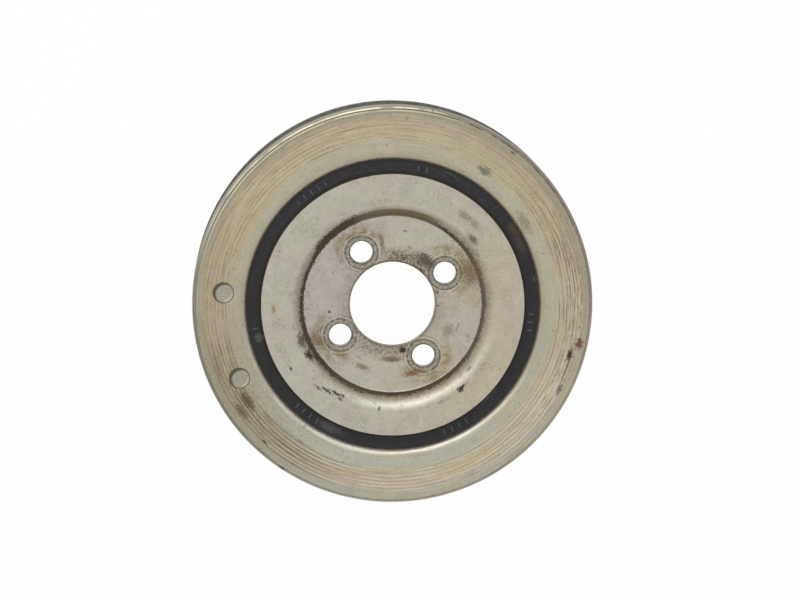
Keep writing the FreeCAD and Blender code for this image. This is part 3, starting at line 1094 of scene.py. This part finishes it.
class Workshop:
    """The geometry trees that make the pieces: turning, drilling and setting marks round the axis."""

    path_radius = 1.0

    def __init__(self) -> None:
        """Builds the trees once."""
        self.turning = self.turning_tree()
        self.drilling = self.drilling_tree()
        self.marking = self.marking_tree()

    def turning_tree(self) -> GeometryTree:
        """A lathe: sweeps a closed outline round the axis.

        Returns:
            The tree.
        """
        lathe = GeometryTree("turn_round_axis", {
            "Segments": "NodeSocketInt", "Material": "NodeSocketMaterial"})
        bench = lathe.bench
        outline = bench.node("GeometryNodeMeshToCurve", sockets={0: lathe.value("Geometry")})
        path = bench.node("GeometryNodeCurvePrimitiveCircle", sockets={
            "Resolution": lathe.value("Segments"), "Radius": self.path_radius * MM})
        swept = bench.node("GeometryNodeCurveToMesh", sockets={
            "Curve": path.outputs[0], "Profile Curve": outline.outputs[0]})
        joined = bench.node("GeometryNodeMergeByDistance", sockets={
            "Geometry": swept.outputs[0], "Distance": MICRON})
        outward = bench.node("GeometryNodeFlipFaces", sockets={0: joined.outputs[0]})
        lathe.close(outward.outputs[0])
        return lathe

    def around_axis(self, tree: GeometryTree, tool: str) -> Signal:
        """Copies of an object at equal steps round the axis, each turned with its place.

        Args:
            tree: A tree with the inputs of AROUND_AXIS.
            tool: Name of the tree's input that holds the object.

        Returns:
            The instances.
        """
        bench = tree.bench
        index = bench.signal(bench.node("GeometryNodeInputIndex"))
        angle = tree.value("First Angle") + index * tree.value("Step Angle")
        radius = tree.value("Circle Radius")
        spot = bench.vector(radius * bench.math("COSINE", angle), radius * bench.math("SINE", angle), 0.0)
        points = bench.node("GeometryNodePoints", sockets={"Count": tree.value("Count"), "Position": spot})
        shape = bench.node("GeometryNodeObjectInfo", sockets={"Object": tree.value(tool)})
        turned = bench.vector(0.0, 0.0, angle)
        copies = bench.node("GeometryNodeInstanceOnPoints", sockets={
            "Points": points.outputs[0], "Instance": shape.outputs["Geometry"], "Rotation": turned})
        return bench.signal(copies)

    def drilling_tree(self) -> GeometryTree:
        """Drills a piece with a shaped cutter at equal steps round the axis.

        Returns:
            The tree.
        """
        drill = GeometryTree("drill_round_axis", {"Cutter": "NodeSocketObject", **AROUND_AXIS})
        bench = drill.bench
        cutters = bench.node("GeometryNodeRealizeInstances", sockets={0: self.around_axis(drill, "Cutter")})
        cut = bench.node("GeometryNodeMeshBoolean", {"operation": "DIFFERENCE", "solver": "EXACT"}, {
            "Mesh 1": drill.value("Geometry"), "Mesh 2": cutters.outputs[0]})
        drill.close(cut.outputs[0])
        return drill

    def marking_tree(self) -> GeometryTree:
        """Sets copies of a small raised mark at equal steps round the axis.

        Returns:
            The tree.
        """
        marks = GeometryTree("mark_round_axis", {"Mark": "NodeSocketObject", **AROUND_AXIS})
        joined = marks.bench.node("GeometryNodeJoinGeometry", sockets={
            0: [marks.value("Geometry"), self.around_axis(marks, "Mark")]})
        marks.close(joined.outputs[0])
        return marks

    def wire(self, name: str, points: Sequence[Point]) -> bpy.types.Object:
        """An object whose mesh is a closed outline, laid out for the lathe's path.

        Args:
            name: The object's name.
            points: The outline as radius and height, in millimetres.

        Returns:
            The object.
        """
        mesh = bpy.data.meshes.new(name)
        count = len(points)
        mesh.from_pydata([((r - self.path_radius) * MM, -z * MM, 0.0) for r, z in points],
                         [(index, (index + 1) % count) for index in range(count)], [])
        return place(name, mesh)

    def turn(self, name: str, corners: Sequence[Corner], segments: int,
             material: bpy.types.Material) -> bpy.types.Object:
        """Turns a piece from its outline.

        Args:
            name: The piece's name.
            corners: Its closed outline.
            segments: Steps round the axis.
            material: Its finish.

        Returns:
            The piece.
        """
        piece = self.wire(name, rounded_outline(corners))
        self.turning.apply(piece, {"Segments": segments, "Material": material})
        return piece

    @staticmethod
    def cutter(name: str, outline: Sequence[Point], sides: int = 72) -> bpy.types.Object:
        """A solid of revolution about its own axis, closed at both poles.

        Args:
            name: The object's name.
            outline: Radius and height of each ring from bottom to top; the first and last are poles.
            sides: Steps round the axis.

        Returns:
            The object, which is taken away once it has cut.
        """
        shape = bmesh.new()
        bottom = shape.verts.new((0.0, 0.0, outline[0][1] * MM))
        top = shape.verts.new((0.0, 0.0, outline[-1][1] * MM))
        rings = []
        for r, z in outline[1:-1]:
            rings.append([shape.verts.new((r * math.cos(2 * math.pi * side / sides) * MM,
                                           r * math.sin(2 * math.pi * side / sides) * MM, z * MM))
                          for side in range(sides)])
        for side in range(sides):
            beside = (side + 1) % sides
            shape.faces.new((bottom, rings[0][beside], rings[0][side]))
            shape.faces.new((top, rings[-1][side], rings[-1][beside]))
            for lower, upper in zip(rings, rings[1:]):
                shape.faces.new((lower[side], lower[beside], upper[beside], upper[side]))
        return solid(name, shape)

    @staticmethod
    def shade(piece: bpy.types.Object, shading: Shading) -> None:
        """Shades a piece smooth, with crisp edges past an angle.

        Args:
            piece: The piece.
            shading: The choice of angle.
        """
        mesh = piece.data
        mesh.polygons.foreach_set("use_smooth", [True] * len(mesh.polygons))
        mesh.set_sharp_from_angle(angle=math.radians(shading.value))
        mesh.update()


def discard(*objects: bpy.types.Object) -> None:
    """Takes helper objects and their meshes away.

    Args:
        objects: The objects.
    """
    for item in objects:
        mesh = item.data
        bpy.data.objects.remove(item)
        bpy.data.meshes.remove(mesh)


def outer_radius(node: str) -> float:
    """Radius of a round CAD node, in millimetres."""
    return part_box(node)[1][0] / MM


def top_height(node: str) -> float:
    """Height of a CAD node's top, in millimetres."""
    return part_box(node)[1][2] / MM


@dataclass
class BeltRing:
    """The steel belt ring: five V grooves outside, turned lines and two balance drillings on its face."""

    finish: PlatedSteel
    radius: float = outer_radius("pulley_ring")
    bore: float = outer_radius("rubber_ring")
    front: float = top_height("pulley_ring")
    bore_round: float = 2.2
    edge_round: float = 0.8
    lip_round: float = 1.0
    lip_taper: Pair = (0.45, 3.0)
    lip_run_out: float = 8.0
    lip_back_round: float = 0.3
    groove_count: int = 5
    groove_pitch: float = 3.56
    groove_half_angle: float = 20.0
    groove_depth: float = 2.9
    groove_round: float = 0.25
    rib_land: float = 0.7
    rib_round: float = 0.2
    lip_rise: float = 1.35
    rear_lip_rise: float = 0.8
    first_groove: float = 3.9
    line_count: int = 8
    line_pitch: float = LINE_PITCH
    line_inset: float = 4.25
    line_half: float = 0.14
    line_depth: float = 0.03
    line_fade: float = 0.87
    line_round: float = 0.04
    lip_line_insets: Pair = (1.3, 2.45)
    drill_radius: float = DRILL_RADIUS
    drill_angles: Pair = DRILL_ANGLES
    drill_dia: float = DRILL_DIA
    drill_depth: float = 0.8
    drill_round: float = 0.4
    drill_break: float = 0.12
    drill_point_angle: float = 170.0
    segments: int = 288

    def outline(self) -> list[Corner]:
        """The ring's section.

        Returns:
            Its corners, counterclockwise from the rear inner edge.
        """
        tip = self.radius - self.lip_rise
        rear = tip + self.rear_lip_rise
        root = tip - self.groove_depth
        slope = math.tan(math.radians(self.groove_half_angle))
        half_top = (self.groove_pitch - self.rib_land) / 2
        half_root = half_top - self.groove_depth * slope
        last = self.first_groove + (self.groove_count - 1) * self.groove_pitch
        corners = [Corner(self.bore, 0.0, self.edge_round), Corner(rear, 0.0, self.edge_round / 2),
                   Corner(rear, self.first_groove - half_top - self.rear_lip_rise * slope,
                          self.groove_round)]
        for index in range(self.groove_count):
            centre = self.first_groove + index * self.groove_pitch
            corners += [Corner(tip, centre - half_top, self.rib_round),
                        Corner(root, centre - half_root, self.groove_round),
                        Corner(root, centre + half_root, self.groove_round),
                        Corner(tip, centre + half_top, self.rib_round)]
        corners += [Corner(self.radius, last + half_top + self.lip_rise * slope, self.lip_back_round),
                    Corner(self.radius, self.front - self.lip_taper[1], self.lip_run_out),
                    Corner(self.radius - self.lip_taper[0], self.front, self.lip_round)]
        for inset in self.lip_line_insets:
            corners += self.line(self.radius - inset, self.line_depth)
        for index in range(self.line_count):
            centre = self.radius - self.line_inset - index * self.line_pitch
            corners += self.line(centre, self.line_depth * self.line_fade**index)
        corners.append(Corner(self.bore, self.front, self.bore_round))
        return corners

    def line(self, centre: float, depth: float) -> list[Corner]:
        """One turned line in the face, from its outer side inwards."""
        return [Corner(centre + self.line_half, self.front, self.line_round),
                Corner(centre, self.front - depth, self.line_round),
                Corner(centre - self.line_half, self.front, self.line_round)]

    def drill_shape(self) -> list[Point]:
        """The balance drill: a blunt point with rounded corners, and a break for the hole's edge.

        Returns:
            Radius and height of each of its rings, from the bottom to the top.
        """
        half = self.drill_dia / 2
        floor = self.front - self.drill_depth
        slope = 1 / math.tan(math.radians(self.drill_point_angle / 2))
        mouth = half + self.drill_break
        return [(0.0, floor - half * slope), (half * 0.5, floor - half * slope * 0.5),
                (half - self.drill_round, floor),
                (half - self.drill_round * 0.25, floor + self.drill_round * 0.3),
                (half, floor + self.drill_round), (half, self.front - self.drill_break),
                (mouth, self.front + CUT_PAST), (mouth, self.front + CUT_CLEAR),
                (0.0, self.front + CUT_CLEAR)]

    def build(self, shop: Workshop) -> bpy.types.Object:
        """Turns and drills the ring.

        Args:
            shop: The geometry trees.

        Returns:
            The piece, riding on the body.
        """
        material = self.finish.make()
        piece = shop.turn("belt_ring", self.outline(), self.segments, material)
        drill = shop.cutter("balance_drill", self.drill_shape())
        first, second = (math.radians(angle) for angle in self.drill_angles)
        shop.drilling.apply(piece, {
            "Cutter": drill, "Count": 2, "Circle Radius": self.drill_radius * MM,
            "First Angle": first, "Step Angle": second - first, "Material": material})
        discard(drill)
        shop.shade(piece, Shading.CRISP)
        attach(piece, BODY)
        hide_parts("pulley_ring")
        return piece


@dataclass
class DamperRing:
    """The rubber ring: both ends slightly hollow, with short rows of plain moulded ticks in front."""

    finish: DamperRubber
    inner: float = outer_radius("hub")
    outer: float = outer_radius("rubber_ring")
    rear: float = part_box("rubber_ring")[0][2] / MM
    front: float = top_height("rubber_ring")
    hollow: float = 0.35
    hollow_round: float = 9.0
    overlap: float = 0.05
    tick_groups: tuple[tuple[float, int], ...] = (
        (76.0, 2), (119.0, 5), (190.0, 2), (227.0, 4), (292.0, 4), (349.0, 3))
    tick_step: float = 3.4
    tick_size: tuple[float, float, float] = (2.4, 0.5, 0.42)
    tick_sink: float = 0.1
    tick_slant: float = 0.2
    segments: int = 288

    def outline(self) -> list[Corner]:
        """The rubber's section, a little wider than its gap.

        Returns:
            Its corners, counterclockwise from the rear inner edge.
        """
        inner = self.inner - self.overlap
        outer = self.outer + self.overlap
        middle = (self.inner + self.outer) / 2
        return [Corner(inner, self.rear), Corner(middle, self.rear + self.hollow, self.hollow_round),
                Corner(outer, self.rear), Corner(outer, self.front),
                Corner(middle, self.front - self.hollow, self.hollow_round), Corner(inner, self.front)]

    def tick(self) -> bpy.types.Object:
        """One raised tick, a small bar along the radius with slanting sides.

        Returns:
            The object, which is taken away once its copies are set.
        """
        length, width, rise = self.tick_size
        base = self.front - self.hollow - self.tick_sink
        corners = ((-1, -1), (1, -1), (1, 1), (-1, 1))
        top = length / 2 - self.tick_slant
        shape = bmesh.new()
        lower = [shape.verts.new((x * length / 2 * MM, y * width * MM, base * MM)) for x, y in corners]
        upper = [shape.verts.new((x * top * MM, y * width * 0.5 * MM, (base + rise) * MM))
                 for x, y in corners]
        shape.faces.new(reversed(lower))
        shape.faces.new(upper)
        for index in range(4):
            beside = (index + 1) % 4
            shape.faces.new((lower[index], lower[beside], upper[beside], upper[index]))
        return solid("moulded_tick", shape)

    def build(self, shop: Workshop) -> bpy.types.Object:
        """Turns the rubber and sets its ticks.

        Args:
            shop: The geometry trees.

        Returns:
            The piece, riding on the body.
        """
        material = self.finish.make()
        piece = shop.turn("damper_ring", self.outline(), self.segments, material)
        tick = self.tick()
        for first, count in self.tick_groups:
            shop.marking.apply(piece, {
                "Mark": tick, "Count": count, "Circle Radius": (self.inner + self.outer) / 2 * MM,
                "First Angle": math.radians(first), "Step Angle": math.radians(self.tick_step),
                "Material": material})
        discard(tick)
        shop.shade(piece, Shading.SOFT)
        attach(piece, BODY)
        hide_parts("rubber_ring")
        return piece


@dataclass
class DishedHub:
    """The hub: a dished plate with a crank bore, four bolt holes and a flange behind its edge.

    The countersink's points are pairs: how far out from the hole, and how far below the dish floor.
    """

    finish: PlatedSteel
    radius: float = outer_radius("hub")
    rear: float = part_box("hub")[0][2] / MM
    front: float = top_height("hub")
    bore: float = BORE_RADIUS
    bore_round: float = 0.4
    plate: float = 4.8
    dish_depth: float = 3.3
    rim: float = 40.5
    bend_round: float = 5.1
    wall_angle: float = 38.0
    corner_round: float = 2.6
    back_round: float = 4.0
    web_round: float = 1.0
    brim: Pair = (33.0, 0.12)
    brim_round: float = 0.05
    edge_round: float = 0.2
    flange_wall: float = 4.4
    flange_round: float = 2.5
    flange_edge_round: float = 0.5
    bolt_count: int = 4
    bolt_radius: float = BOLT_RADIUS
    bolt_angle: float = BOLT_ANGLE
    bolt_dia: float = 8.5
    back_chamfer: float = 0.3
    sink_start: Pair = (0.0, 0.5)
    sink_middle: Pair = (0.12, 0.32)
    sink_width: float = 0.42
    seat_dia: float = 12.0
    seat_depth: float = 0.03
    seat_slant: float = 0.1
    segments: int = 288

    def outline(self) -> list[Corner]:
        """The hub's section.

        Returns:
            Its corners, counterclockwise from the rear edge of the bore.
        """
        floor = self.front - self.dish_depth
        back = floor - self.plate
        web = self.front - self.plate
        inside = self.radius - self.flange_wall
        wall = math.radians(self.wall_angle)
        bend = self.rim - self.bend_round * math.tan(wall / 2)
        corner = bend - self.dish_depth / math.tan(wall)
        boss = corner + self.plate * math.tan(wall / 2)
        start, rise = self.brim
        return [Corner(self.bore, back, self.bore_round), Corner(boss, back, self.back_round),
                Corner(boss + self.dish_depth / math.tan(wall), web, self.web_round),
                Corner(inside, web, self.flange_round),
                Corner(inside, self.rear, self.flange_edge_round),
                Corner(self.radius, self.rear, self.flange_edge_round),
                Corner(self.radius, self.front, self.edge_round),
                Corner(bend, self.front, self.bend_round),
                Corner(corner + rise / math.tan(wall), floor + rise, self.corner_round),
                Corner(start + 2 * rise, floor + rise, self.brim_round),
                Corner(start, floor, self.brim_round), Corner(self.bore, floor, self.bore_round)]

    def drill_shape(self) -> list[Point]:
        """The bolt hole's tool: a through drill, a countersink and a shallow worn seat.

        Returns:
            Radius and height of each of its rings, from the bottom to the top.
        """
        floor = self.front - self.dish_depth
        back = floor - self.plate
        hole = self.bolt_dia / 2
        wide = hole + self.back_chamfer
        seat = self.seat_dia / 2
        mouth = seat + self.seat_slant
        sink = [(hole + out, floor - down) for out, down in (self.sink_start, self.sink_middle)]
        return [(0.0, back - CUT_CLEAR), (wide, back - CUT_CLEAR), (wide, back),
                (hole, back + self.back_chamfer), *sink,
                (hole + self.sink_width, floor - self.seat_depth), (seat, floor - self.seat_depth),
                (mouth, floor + CUT_PAST), (mouth, floor + CUT_CLEAR), (0.0, floor + CUT_CLEAR)]

    def build(self, shop: Workshop) -> bpy.types.Object:
        """Turns and drills the hub.

        Args:
            shop: The geometry trees.

        Returns:
            The piece, riding on the body.
        """
        material = self.finish.make()
        piece = shop.turn("dished_hub", self.outline(), self.segments, material)
        drill = shop.cutter("bolt_drill", self.drill_shape())
        shop.drilling.apply(piece, {
            "Cutter": drill, "Count": self.bolt_count, "Circle Radius": self.bolt_radius * MM,
            "First Angle": math.radians(self.bolt_angle), "Step Angle": 2 * math.pi / self.bolt_count,
            "Material": material})
        discard(drill)
        shop.shade(piece, Shading.CRISP)
        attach(piece, BODY)
        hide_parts("hub")
        return piece


@dataclass
class Studio:
    """The pale floor, the soft lamps and the camera at the photograph's viewing angle."""

    tilt: float = 8.0
    tilt_toward: float = 107.0
    distance: float = 2.1
    target: tuple[float, float, float] = (2.66, 2.0, 26.5)
    view_width: float = 299.7
    sensor_width: float = 36.0
    clip_end: float = 10.0
    floor_half: float = 1.6
    floor_drop: float = 0.2
    floor_grey: Colour = (0.8, 0.8, 0.8)
    floor_glow: float = 0.97
    world_strength: float = 0.84
    key_power: float = 1.8
    key_size: float = 0.8
    key_toward: float = 105.0
    key_height: float = 38.0
    key_distance: float = 0.9

    @staticmethod
    def direction(toward: float, height: float) -> Vector:
        """A direction in space, from its angle round the axis and its height, both in radians."""
        flat = math.cos(height)
        return Vector((flat * math.cos(toward), flat * math.sin(toward), math.sin(height)))

    def camera(self) -> None:
        """Sets the camera a little off the crank axis, looking down."""
        data = bpy.data.cameras.new("camera")
        data.sensor_width = self.sensor_width
        data.lens = self.sensor_width * self.distance / (self.view_width * MM)
        data.clip_end = self.clip_end
        made = place("camera", data)
        toward = math.radians(self.tilt_toward)
        tilt = math.radians(self.tilt)
        away = self.direction(toward, math.pi / 2 - tilt)
        made.location = Vector(self.target) * MM + away * self.distance
        made.rotation_mode = "QUATERNION"
        made.rotation_quaternion = Quaternion((-math.sin(toward), math.cos(toward), 0.0), tilt)
        bpy.context.scene.camera = made

    def floor(self) -> None:
        """Lays the pale floor, which shows white to the camera and keeps a faint shadow."""
        half = self.floor_half
        mesh = bpy.data.meshes.new("floor")
        mesh.from_pydata([(-half, -half, 0), (half, -half, 0), (half, half, 0), (-half, half, 0)], [],
                         [(0, 1, 2, 3)])
        made = place("floor", mesh)
        made.location.z = -self.floor_drop * MM
        material = bpy.data.materials.new("floor_white")
        bench = NodeBench(empty_tree(material))
        rays = bench.node("ShaderNodeLightPath")
        seen = bench.signal(rays, "Is Camera Ray") + bench.signal(rays, "Is Glossy Ray")
        seen = bench.math("ADD", seen, bench.signal(rays, "Is Transmission Ray"), clamp=True)
        plain = bench.node("ShaderNodeBsdfDiffuse", sockets={"Color": self.floor_grey})
        white = bench.node("ShaderNodeEmission", sockets={"Color": WHITE, "Strength": 1.0})
        mixed = bench.node("ShaderNodeMixShader", sockets={
            0: seen * self.floor_glow, 1: plain.outputs[0], 2: white.outputs[0]})
        bench.node("ShaderNodeOutputMaterial", sockets={"Surface": mixed.outputs[0]})
        mesh.materials.append(material)

    def lamps(self) -> None:
        """Hangs one large soft lamp and lights the rest evenly from the world."""
        away = self.direction(math.radians(self.key_toward), math.radians(self.key_height))
        data = bpy.data.lights.new("key_lamp", "AREA")
        data.shape = "DISK"
        data.size = self.key_size
        data.energy = self.key_power
        made = place("key_lamp", data)
        made.location = away * self.key_distance
        made.rotation_mode = "QUATERNION"
        made.rotation_quaternion = away.to_track_quat("Z", "Y")
        world = bpy.data.worlds.new("studio")
        bpy.context.scene.world = world
        bench = NodeBench(empty_tree(world))
        glow = bench.node("ShaderNodeBackground", sockets={
            "Color": WHITE, "Strength": self.world_strength})
        bench.node("ShaderNodeOutputWorld", sockets={"Surface": glow.outputs[0]})

    def build(self) -> None:
        """Sets up floor, lamp, camera and the plain view transform."""
        self.floor()
        self.lamps()
        self.camera()
        bpy.context.scene.view_settings.view_transform = "Standard"


RUST = colour(104, 76, 48)
BROWN = colour(76, 58, 40)
UMBER = colour(120, 98, 78)
BLACK = colour(40, 36, 34)
OCHRE = colour(148, 124, 76)

RING_FINISH = RingSteel(
    name="ring_steel",
    straw=colour(190, 178, 148),
    pink=colour(186, 167, 143),
    green=colour(180, 178, 158),
    grime=colour(92, 78, 60),
    stains=(
        Stain(348, 71.5, (1.2, 1.9), RUST, 1.0),
        Stain(344, 69.1, (0.9, 1.8), colour(62, 46, 26), 1.0),
        Stain(339, 69.5, (0.3, 3.4), BLACK, 0.5),
        Stain(333, 70.5, (0.7, 2.0), colour(104, 82, 62), 0.8),
        Stain(56, 61.0, (1.3, 2.4), colour(92, 88, 68), 0.75),
        Stain(213.5, 65.3, (1.5, 3.4), colour(80, 66, 54), 0.8, 0.7),
        Stain(215.2, 69.5, (1.1, 3.0), colour(82, 70, 56), 0.75, 0.7),
        Stain(227.2, 70.5, (0.4, 1.2), BLACK, 0.9),
        Stain(235.8, 74.3, (0.4, 1.2), BLACK, 0.7),
        Stain(234.2, 56.6, (0.7, 0.5), UMBER, 0.45),
        Stain(236.2, 62.0, (0.4, 1.1), UMBER, 0.6),
        Stain(86, 70.4, (0.3, 0.5), BROWN, 0.4),
        Stain(52.2, 72.8, (0.4, 0.8), BROWN, 0.7),
        Stain(78.6, 74.4, (0.6, 0.2), BROWN, 0.7),
        Stain(118.1, 59.0, (1.3, 0.2), UMBER, 0.4),
        Stain(32.4, 58.4, (1.5, 3.6), colour(122, 110, 86), 0.6, 0.8)))

HUB_FINISH = HubSteel(
    name="hub_steel",
    straw=colour(190, 178, 150),
    pink=colour(188, 178, 166),
    green=colour(186, 183, 168),
    grime=colour(74, 60, 44),
    stains=(
        Stain(228.5, 41.9, (0.4, 1.9), BLACK, 0.75, 0.7),
        Stain(232.7, 40.6, (0.5, 2.2), BLACK, 0.9, 0.7),
        Stain(237.4, 39.5, (0.5, 2.2), BLACK, 0.95, 0.7),
        Stain(241.0, 38.9, (0.4, 1.2), BROWN, 0.95),
        Stain(241.1, 40.8, (0.5, 1.0), BROWN, 0.8),
        Stain(262.7, 39.5, (0.9, 0.4), BROWN, 0.75),
        Stain(309.2, 40.7, (0.95, 1.4), BLACK, 1.0),
        Stain(312.5, 40.4, (0.4, 1.6), UMBER, 0.3),
        Stain(319.6, 37.6, (0.35, 1.2), BROWN, 0.65),
        Stain(296.5, 40.8, (0.5, 1.4), UMBER, 0.45),
        Stain(276.0, 47.0, (0.3, 0.3), BLACK, 0.4),
        Stain(212.0, 45.1, (0.45, 0.7), BLACK, 0.9),
        Stain(181.6, 44.8, (0.6, 1.4), OCHRE, 0.75),
        Stain(51.5, 43.1, (1.3, 2.2), colour(112, 98, 60), 0.6, 0.8),
        Stain(45.0, 43.2, (1.2, 2.2), colour(112, 98, 60), 0.5, 0.9),
        Stain(39.6, 38.8, (1.1, 2.0), BROWN, 0.75, 0.9),
        Stain(201.6, 36.8, (1.3, 2.3), BROWN, 0.8),
        Stain(211.1, 36.6, (1.2, 2.0), colour(56, 42, 30), 1.0),
        Stain(192.8, 38.0, (0.3, 1.2), UMBER, 0.45),
        Stain(128.0, 37.6, (1.0, 3.2), colour(166, 154, 144), 0.5, 0.8),
        Stain(244.2, 26.3, (0.9, 2.8), UMBER, 0.75, 0.6),
        Stain(238.0, 23.8, (0.25, 1.4), BROWN, 0.45),
        Stain(269.0, 20.9, (0.9, 3.4), colour(104, 80, 56), 0.8, 0.6),
        Stain(282.2, 17.7, (1.0, 1.1), colour(50, 40, 26), 1.0),
        Stain(286.6, 27.2, (1.0, 3.2), colour(124, 94, 54), 0.8, 0.6),
        Stain(333.9, 23.2, (1.8, 2.5), colour(128, 114, 104), 0.6, 0.7),
        Stain(340.2, 26.0, (0.4, 1.6), UMBER, 0.5),
        Stain(336.6, 30.8, (0.5, 0.6), BROWN, 0.35),
        Stain(357.7, 17.1, (0.4, 0.4), BLACK, 0.8),
        Stain(14.9, 17.4, (0.5, 0.7), BROWN, 0.8),
        Stain(52.8, 20.9, (1.8, 3.6), colour(70, 54, 40), 0.85, 0.6),
        Stain(73.5, 22.4, (0.6, 0.9), BROWN, 0.35),
        Stain(80.5, 28.0, (0.35, 0.8), BROWN, 0.6),
        Stain(99.9, 23.4, (3.2, 0.8), colour(114, 92, 66), 0.7, 0.6),
        Stain(151.5, 25.4, (0.4, 0.4), BROWN, 0.4),
        Stain(186.9, 23.8, (0.45, 0.45), BROWN, 0.95),
        Stain(22.0, 31.4, (2.6, 4.6), colour(116, 92, 54), 0.8, 0.8),
        Stain(5.0, 29.5, (2.4, 3.4), colour(176, 160, 124), 0.5, 0.8),
        Stain(205.0, 31.4, (2.0, 3.0), colour(110, 82, 54), 0.65, 0.7)))

RUBBER_FINISH = DamperRubber(
    name="damper_rubber",
    tone=colour(30, 28, 29),
    dust=colour(58, 56, 62),
    stains=(
        Stain(193.9, 51.6, (1.3, 1.6), colour(98, 92, 86), 0.6),
        Stain(243.3, 52.2, (1.4, 4.4), colour(84, 80, 82), 0.8, 0.5),
        Stain(31.8, 53.2, (1.3, 2.2), colour(92, 72, 56), 0.5, 1.0),
        Stain(25.4, 53.0, (1.3, 2.8), colour(92, 80, 72), 0.4, 1.1),
        Stain(10.0, 54.0, (0.4, 1.0), colour(104, 84, 70), 0.6),
        Stain(66.0, 53.6, (0.4, 2.2), colour(92, 92, 98), 0.35),
        Stain(316.0, 50.4, (0.4, 4.0), colour(84, 70, 60), 0.6)))


def report(name: str, piece: bpy.types.Object) -> None:
    """Logs the size of a finished piece.

    Args:
        name: What the piece is.
        piece: The piece.
    """
    faces = sum(len(polygon.vertices) - 2 for polygon in piece.data.polygons)
    across, _, height = (size / MM for size in piece.dimensions)
    LOG.info("%s: %.1f mm across, %.1f mm high, %d triangles", name, across, height, faces)


def main() -> None:
    """Builds the pieces in order, from the hub outwards, and then the studio."""
    logging.basicConfig(level=logging.INFO, format="%(name)s: %(message)s")
    shop = Workshop()
    report("hub", DishedHub(HUB_FINISH).build(shop))
    report("rubber ring", DamperRing(RUBBER_FINISH).build(shop))
    report("belt ring", BeltRing(RING_FINISH).build(shop))
    Studio().build()


if __name__ == "__main__":
    main()
